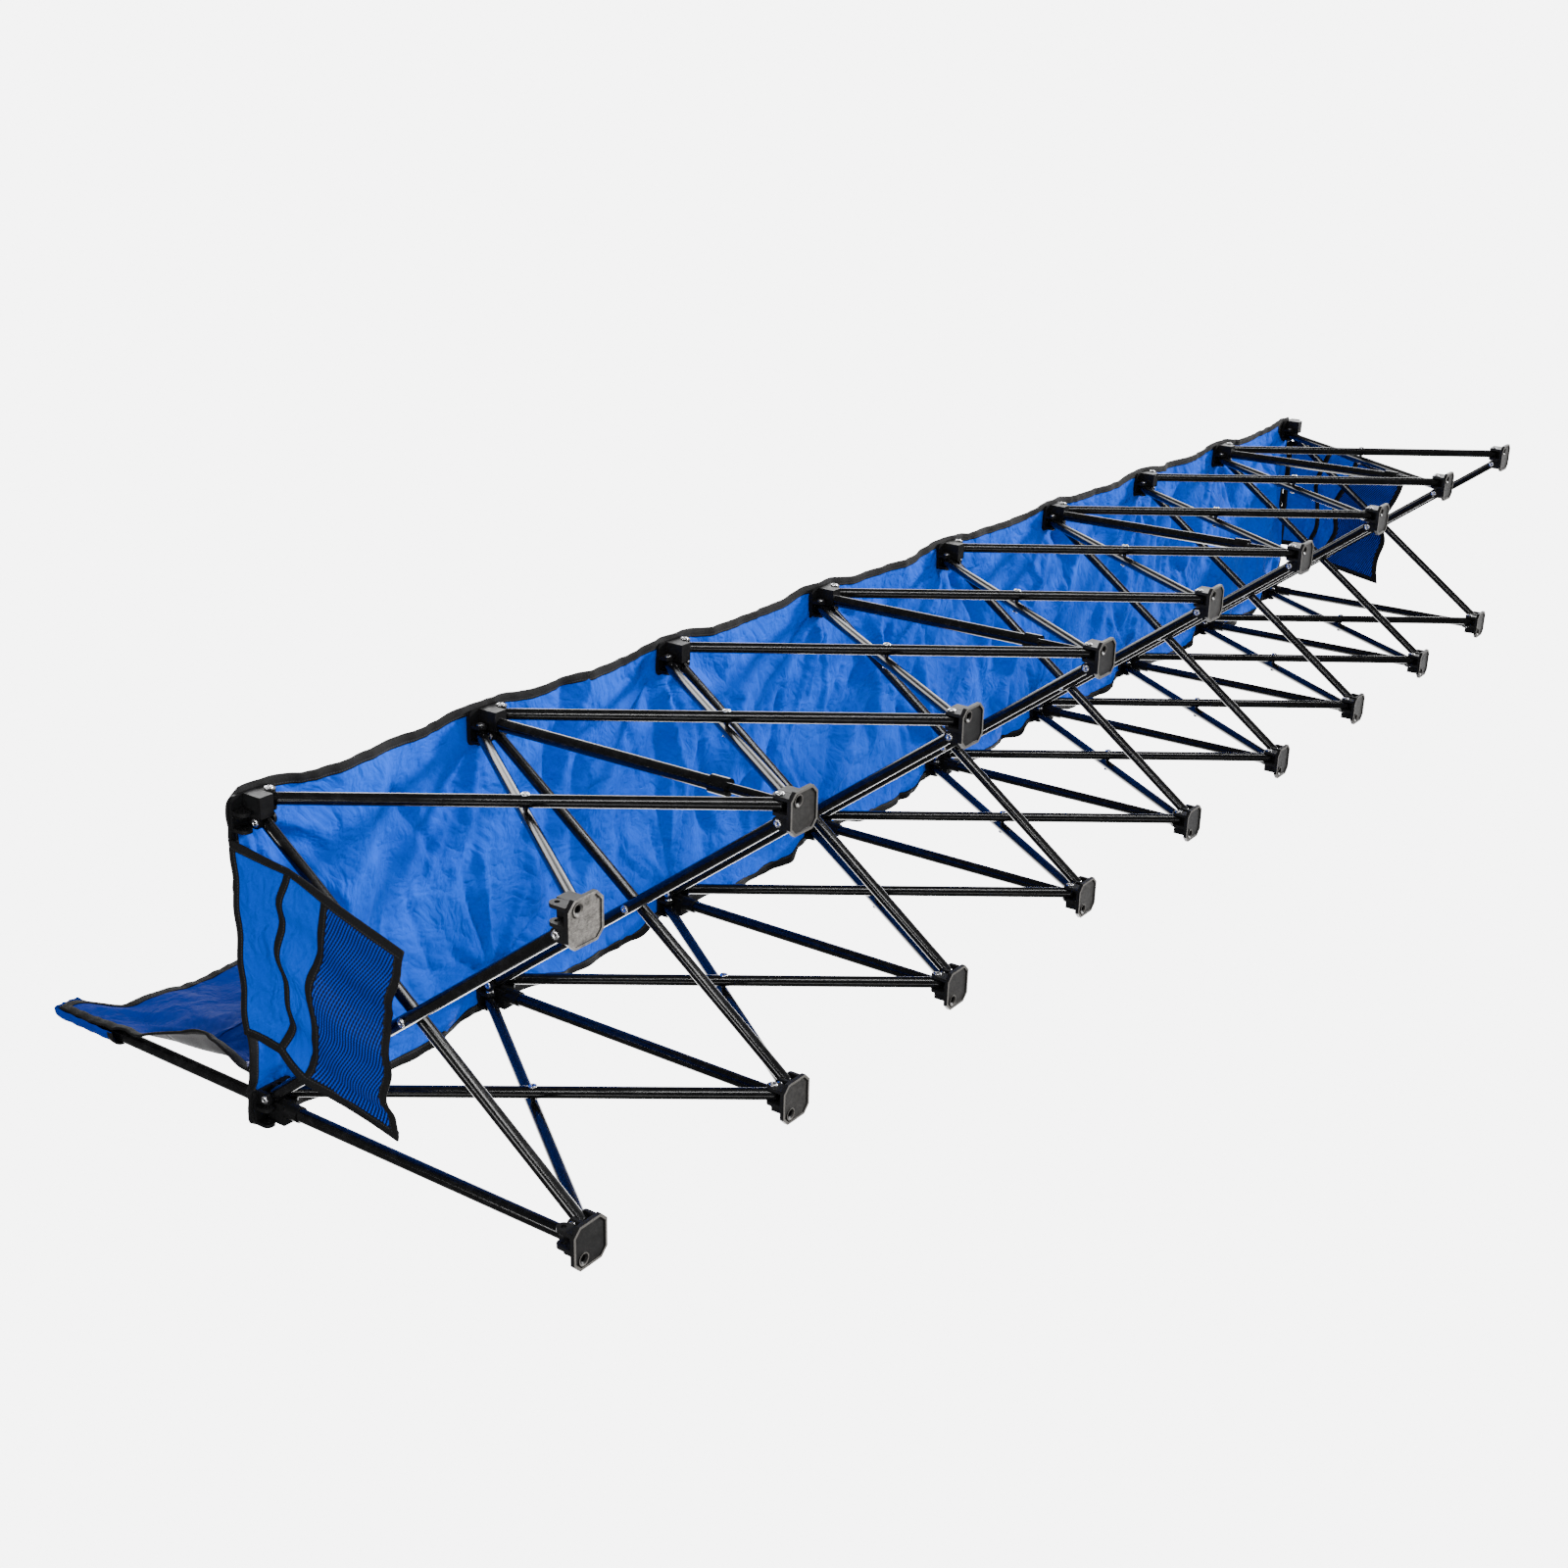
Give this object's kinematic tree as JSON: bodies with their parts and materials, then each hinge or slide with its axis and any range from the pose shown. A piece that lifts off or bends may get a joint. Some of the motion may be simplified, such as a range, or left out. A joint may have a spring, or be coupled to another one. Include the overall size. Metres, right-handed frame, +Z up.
{
  "type": "folding sideline bench",
  "caption": "Long folding bench on a crossed-tube frame, with a slung cloth seat and back, hanging end pocket panels, and plastic hubs and feet.",
  "frame": {"origin": "centre of the footprint, on the floor under the soles", "axes": "+X along the bench, -Y the way a sitter faces, +Z up"},
  "size_m": [2.8614, 0.394, 0.82],
  "materials": {
    "hub_plastic": "moulded, satin",
    "foot_plastic": "moulded, scuffed sole",
    "post_steel": "gloss black powder coat",
    "prop_steel": "gloss black powder coat",
    "frame_steel": "gloss black powder coat",
    "seat_cloth": "woven polyester",
    "back_cloth": "woven polyester, grey lining",
    "panel_cloth": "woven polyester and mesh"
  },
  "bodies": {
    "lower_0": {"feet_0": "foot_plastic", "back_post_0": "post_steel", "side_braces_0": "frame_steel"},
    "upper_0": {"seat_hubs_0": "hub_plastic", "end_panel_left": "panel_cloth"},
    "lower_1": {"feet_1": "foot_plastic", "back_post_1": "post_steel", "side_braces_1": "frame_steel"},
    "upper_1": {"seat_hubs_1": "hub_plastic", "prop_sleeve_1": "prop_steel"},
    "lower_2": {"feet_2": "foot_plastic", "back_post_2": "post_steel", "side_braces_2": "frame_steel"},
    "upper_2": {"seat_hubs_2": "hub_plastic"},
    "lower_3": {"feet_3": "foot_plastic", "back_post_3": "post_steel", "side_braces_3": "frame_steel"},
    "upper_3": {"seat_hubs_3": "hub_plastic", "prop_sleeve_3": "prop_steel"},
    "lower_4": {"feet_4": "foot_plastic", "back_post_4": "post_steel", "side_braces_4": "frame_steel", "backrest_sheet": "back_cloth"},
    "upper_4": {"seat_hubs_4": "hub_plastic", "seat_sheet": "seat_cloth"},
    "lower_5": {"feet_5": "foot_plastic", "back_post_5": "post_steel", "side_braces_5": "frame_steel"},
    "upper_5": {"seat_hubs_5": "hub_plastic", "prop_sleeve_5": "prop_steel"},
    "lower_6": {"feet_6": "foot_plastic", "back_post_6": "post_steel", "side_braces_6": "frame_steel"},
    "upper_6": {"seat_hubs_6": "hub_plastic"},
    "lower_7": {"feet_7": "foot_plastic", "back_post_7": "post_steel", "side_braces_7": "frame_steel"},
    "upper_7": {"seat_hubs_7": "hub_plastic", "prop_sleeve_7": "prop_steel"},
    "lower_8": {"feet_8": "foot_plastic", "back_post_8": "post_steel", "side_braces_8": "frame_steel"},
    "upper_8": {"seat_hubs_8": "hub_plastic", "end_panel_right": "panel_cloth"},
    "falling_0": {"falling_tubes_0": "frame_steel"},
    "rising_0": {"rising_tubes_0": "frame_steel"},
    "falling_1": {"falling_tubes_1": "frame_steel"},
    "rising_1": {"rising_tubes_1": "frame_steel"},
    "falling_2": {"falling_tubes_2": "frame_steel"},
    "rising_2": {"rising_tubes_2": "frame_steel"},
    "falling_3": {"falling_tubes_3": "frame_steel"},
    "rising_3": {"rising_tubes_3": "frame_steel"},
    "falling_4": {"falling_tubes_4": "frame_steel"},
    "rising_4": {"rising_tubes_4": "frame_steel"},
    "falling_5": {"falling_tubes_5": "frame_steel"},
    "rising_5": {"rising_tubes_5": "frame_steel"},
    "falling_6": {"falling_tubes_6": "frame_steel"},
    "rising_6": {"rising_tubes_6": "frame_steel"},
    "falling_7": {"falling_tubes_7": "frame_steel"},
    "rising_7": {"rising_tubes_7": "frame_steel"}
  },
  "joints": [
    {"name": "fold", "type": "hinge", "parent": "lower_4", "child": "rising_4", "pos_m": [0.017, 0, 0.02], "axis": [0, -1, 0], "range_deg": [0, 33], "deforming": ["seat_sheet", "backrest_sheet"]},
    {"name": "hub_5_on_rising_4", "type": "hinge", "parent": "rising_4", "child": "upper_5", "pos_m": [0.333, 0, 0.445], "axis": [0, -1, 0], "range_deg": [-34, 0]},
    {"name": "crossing_4", "type": "hinge", "parent": "rising_4", "child": "falling_4", "pos_m": [0.175, 0, 0.2325], "axis": [0, -1, 0], "range_deg": [-67, 0]},
    {"name": "hub_4_on_falling_4", "type": "hinge", "parent": "falling_4", "child": "upper_4", "pos_m": [0.017, 0, 0.445], "axis": [0, -1, 0], "range_deg": [0, 34]},
    {"name": "foot_5_on_falling_4", "type": "hinge", "parent": "falling_4", "child": "lower_5", "pos_m": [0.333, 0, 0.02], "axis": [0, -1, 0], "range_deg": [0, 34]},
    {"name": "falling_5_on_hub_5", "type": "hinge", "parent": "upper_5", "child": "falling_5", "pos_m": [0.367, 0, 0.445], "axis": [0, -1, 0], "range_deg": [-34, 0]},
    {"name": "foot_6_on_falling_5", "type": "hinge", "parent": "falling_5", "child": "lower_6", "pos_m": [0.683, 0, 0.02], "axis": [0, -1, 0], "range_deg": [0, 34]},
    {"name": "rising_5_on_foot_5", "type": "hinge", "parent": "lower_5", "child": "rising_5", "pos_m": [0.367, 0, 0.02], "axis": [0, -1, 0], "range_deg": [0, 34]},
    {"name": "hub_6_on_rising_5", "type": "hinge", "parent": "rising_5", "child": "upper_6", "pos_m": [0.683, 0, 0.445], "axis": [0, -1, 0], "range_deg": [-34, 0]},
    {"name": "falling_6_on_hub_6", "type": "hinge", "parent": "upper_6", "child": "falling_6", "pos_m": [0.717, 0, 0.445], "axis": [0, -1, 0], "range_deg": [-34, 0]},
    {"name": "foot_7_on_falling_6", "type": "hinge", "parent": "falling_6", "child": "lower_7", "pos_m": [1.033, 0, 0.02], "axis": [0, -1, 0], "range_deg": [0, 34]},
    {"name": "rising_6_on_foot_6", "type": "hinge", "parent": "lower_6", "child": "rising_6", "pos_m": [0.717, 0, 0.02], "axis": [0, -1, 0], "range_deg": [0, 34]},
    {"name": "hub_7_on_rising_6", "type": "hinge", "parent": "rising_6", "child": "upper_7", "pos_m": [1.033, 0, 0.445], "axis": [0, -1, 0], "range_deg": [-34, 0]},
    {"name": "falling_7_on_hub_7", "type": "hinge", "parent": "upper_7", "child": "falling_7", "pos_m": [1.067, 0, 0.445], "axis": [0, -1, 0], "range_deg": [-34, 0]},
    {"name": "foot_8_on_falling_7", "type": "hinge", "parent": "falling_7", "child": "lower_8", "pos_m": [1.383, 0, 0.02], "axis": [0, -1, 0], "range_deg": [0, 34]},
    {"name": "rising_7_on_foot_7", "type": "hinge", "parent": "lower_7", "child": "rising_7", "pos_m": [1.067, 0, 0.02], "axis": [0, -1, 0], "range_deg": [0, 34]},
    {"name": "hub_8_on_rising_7", "type": "hinge", "parent": "rising_7", "child": "upper_8", "pos_m": [1.383, 0, 0.445], "axis": [0, -1, 0], "range_deg": [-34, 0]},
    {"name": "falling_3_on_foot_4", "type": "hinge", "parent": "lower_4", "child": "falling_3", "pos_m": [-0.017, 0, 0.02], "axis": [0, -1, 0], "range_deg": [-34, 0]},
    {"name": "hub_3_on_falling_3", "type": "hinge", "parent": "falling_3", "child": "upper_3", "pos_m": [-0.333, 0, 0.445], "axis": [0, -1, 0], "range_deg": [0, 34]},
    {"name": "rising_3_on_hub_4", "type": "hinge", "parent": "upper_4", "child": "rising_3", "pos_m": [-0.017, 0, 0.445], "axis": [0, -1, 0], "range_deg": [0, 34]},
    {"name": "foot_3_on_rising_3", "type": "hinge", "parent": "rising_3", "child": "lower_3", "pos_m": [-0.333, 0, 0.02], "axis": [0, -1, 0], "range_deg": [-34, 0]},
    {"name": "falling_2_on_foot_3", "type": "hinge", "parent": "lower_3", "child": "falling_2", "pos_m": [-0.367, 0, 0.02], "axis": [0, -1, 0], "range_deg": [-34, 0]},
    {"name": "hub_2_on_falling_2", "type": "hinge", "parent": "falling_2", "child": "upper_2", "pos_m": [-0.683, 0, 0.445], "axis": [0, -1, 0], "range_deg": [0, 34]},
    {"name": "rising_2_on_hub_3", "type": "hinge", "parent": "upper_3", "child": "rising_2", "pos_m": [-0.367, 0, 0.445], "axis": [0, -1, 0], "range_deg": [0, 34]},
    {"name": "foot_2_on_rising_2", "type": "hinge", "parent": "rising_2", "child": "lower_2", "pos_m": [-0.683, 0, 0.02], "axis": [0, -1, 0], "range_deg": [-34, 0]},
    {"name": "falling_1_on_foot_2", "type": "hinge", "parent": "lower_2", "child": "falling_1", "pos_m": [-0.717, 0, 0.02], "axis": [0, -1, 0], "range_deg": [-34, 0]},
    {"name": "hub_1_on_falling_1", "type": "hinge", "parent": "falling_1", "child": "upper_1", "pos_m": [-1.033, 0, 0.445], "axis": [0, -1, 0], "range_deg": [0, 34]},
    {"name": "rising_1_on_hub_2", "type": "hinge", "parent": "upper_2", "child": "rising_1", "pos_m": [-0.717, 0, 0.445], "axis": [0, -1, 0], "range_deg": [0, 34]},
    {"name": "foot_1_on_rising_1", "type": "hinge", "parent": "rising_1", "child": "lower_1", "pos_m": [-1.033, 0, 0.02], "axis": [0, -1, 0], "range_deg": [-34, 0]},
    {"name": "falling_0_on_foot_1", "type": "hinge", "parent": "lower_1", "child": "falling_0", "pos_m": [-1.067, 0, 0.02], "axis": [0, -1, 0], "range_deg": [-34, 0]},
    {"name": "hub_0_on_falling_0", "type": "hinge", "parent": "falling_0", "child": "upper_0", "pos_m": [-1.383, 0, 0.445], "axis": [0, -1, 0], "range_deg": [0, 34]},
    {"name": "rising_0_on_hub_1", "type": "hinge", "parent": "upper_1", "child": "rising_0", "pos_m": [-1.067, 0, 0.445], "axis": [0, -1, 0], "range_deg": [0, 34]},
    {"name": "foot_0_on_rising_0", "type": "hinge", "parent": "rising_0", "child": "lower_0", "pos_m": [-1.383, 0, 0.02], "axis": [0, -1, 0], "range_deg": [-34, 0]}
  ],
  "couplings": [
    {"joint": "hub_5_on_rising_4", "follows": "fold", "ratio": -1},
    {"joint": "crossing_4", "follows": "fold", "ratio": -2},
    {"joint": "hub_4_on_falling_4", "follows": "fold", "ratio": 1},
    {"joint": "foot_5_on_falling_4", "follows": "fold", "ratio": 1},
    {"joint": "falling_5_on_hub_5", "follows": "fold", "ratio": -1},
    {"joint": "foot_6_on_falling_5", "follows": "fold", "ratio": 1},
    {"joint": "rising_5_on_foot_5", "follows": "fold", "ratio": 1},
    {"joint": "hub_6_on_rising_5", "follows": "fold", "ratio": -1},
    {"joint": "falling_6_on_hub_6", "follows": "fold", "ratio": -1},
    {"joint": "foot_7_on_falling_6", "follows": "fold", "ratio": 1},
    {"joint": "rising_6_on_foot_6", "follows": "fold", "ratio": 1},
    {"joint": "hub_7_on_rising_6", "follows": "fold", "ratio": -1},
    {"joint": "falling_7_on_hub_7", "follows": "fold", "ratio": -1},
    {"joint": "foot_8_on_falling_7", "follows": "fold", "ratio": 1},
    {"joint": "rising_7_on_foot_7", "follows": "fold", "ratio": 1},
    {"joint": "hub_8_on_rising_7", "follows": "fold", "ratio": -1},
    {"joint": "falling_3_on_foot_4", "follows": "fold", "ratio": -1},
    {"joint": "hub_3_on_falling_3", "follows": "fold", "ratio": 1},
    {"joint": "rising_3_on_hub_4", "follows": "fold", "ratio": 1},
    {"joint": "foot_3_on_rising_3", "follows": "fold", "ratio": -1},
    {"joint": "falling_2_on_foot_3", "follows": "fold", "ratio": -1},
    {"joint": "hub_2_on_falling_2", "follows": "fold", "ratio": 1},
    {"joint": "rising_2_on_hub_3", "follows": "fold", "ratio": 1},
    {"joint": "foot_2_on_rising_2", "follows": "fold", "ratio": -1},
    {"joint": "falling_1_on_foot_2", "follows": "fold", "ratio": -1},
    {"joint": "hub_1_on_falling_1", "follows": "fold", "ratio": 1},
    {"joint": "rising_1_on_hub_2", "follows": "fold", "ratio": 1},
    {"joint": "foot_1_on_rising_1", "follows": "fold", "ratio": -1},
    {"joint": "falling_0_on_foot_1", "follows": "fold", "ratio": -1},
    {"joint": "hub_0_on_falling_0", "follows": "fold", "ratio": 1},
    {"joint": "rising_0_on_hub_1", "follows": "fold", "ratio": 1},
    {"joint": "foot_0_on_rising_0", "follows": "fold", "ratio": -1}
  ]
}
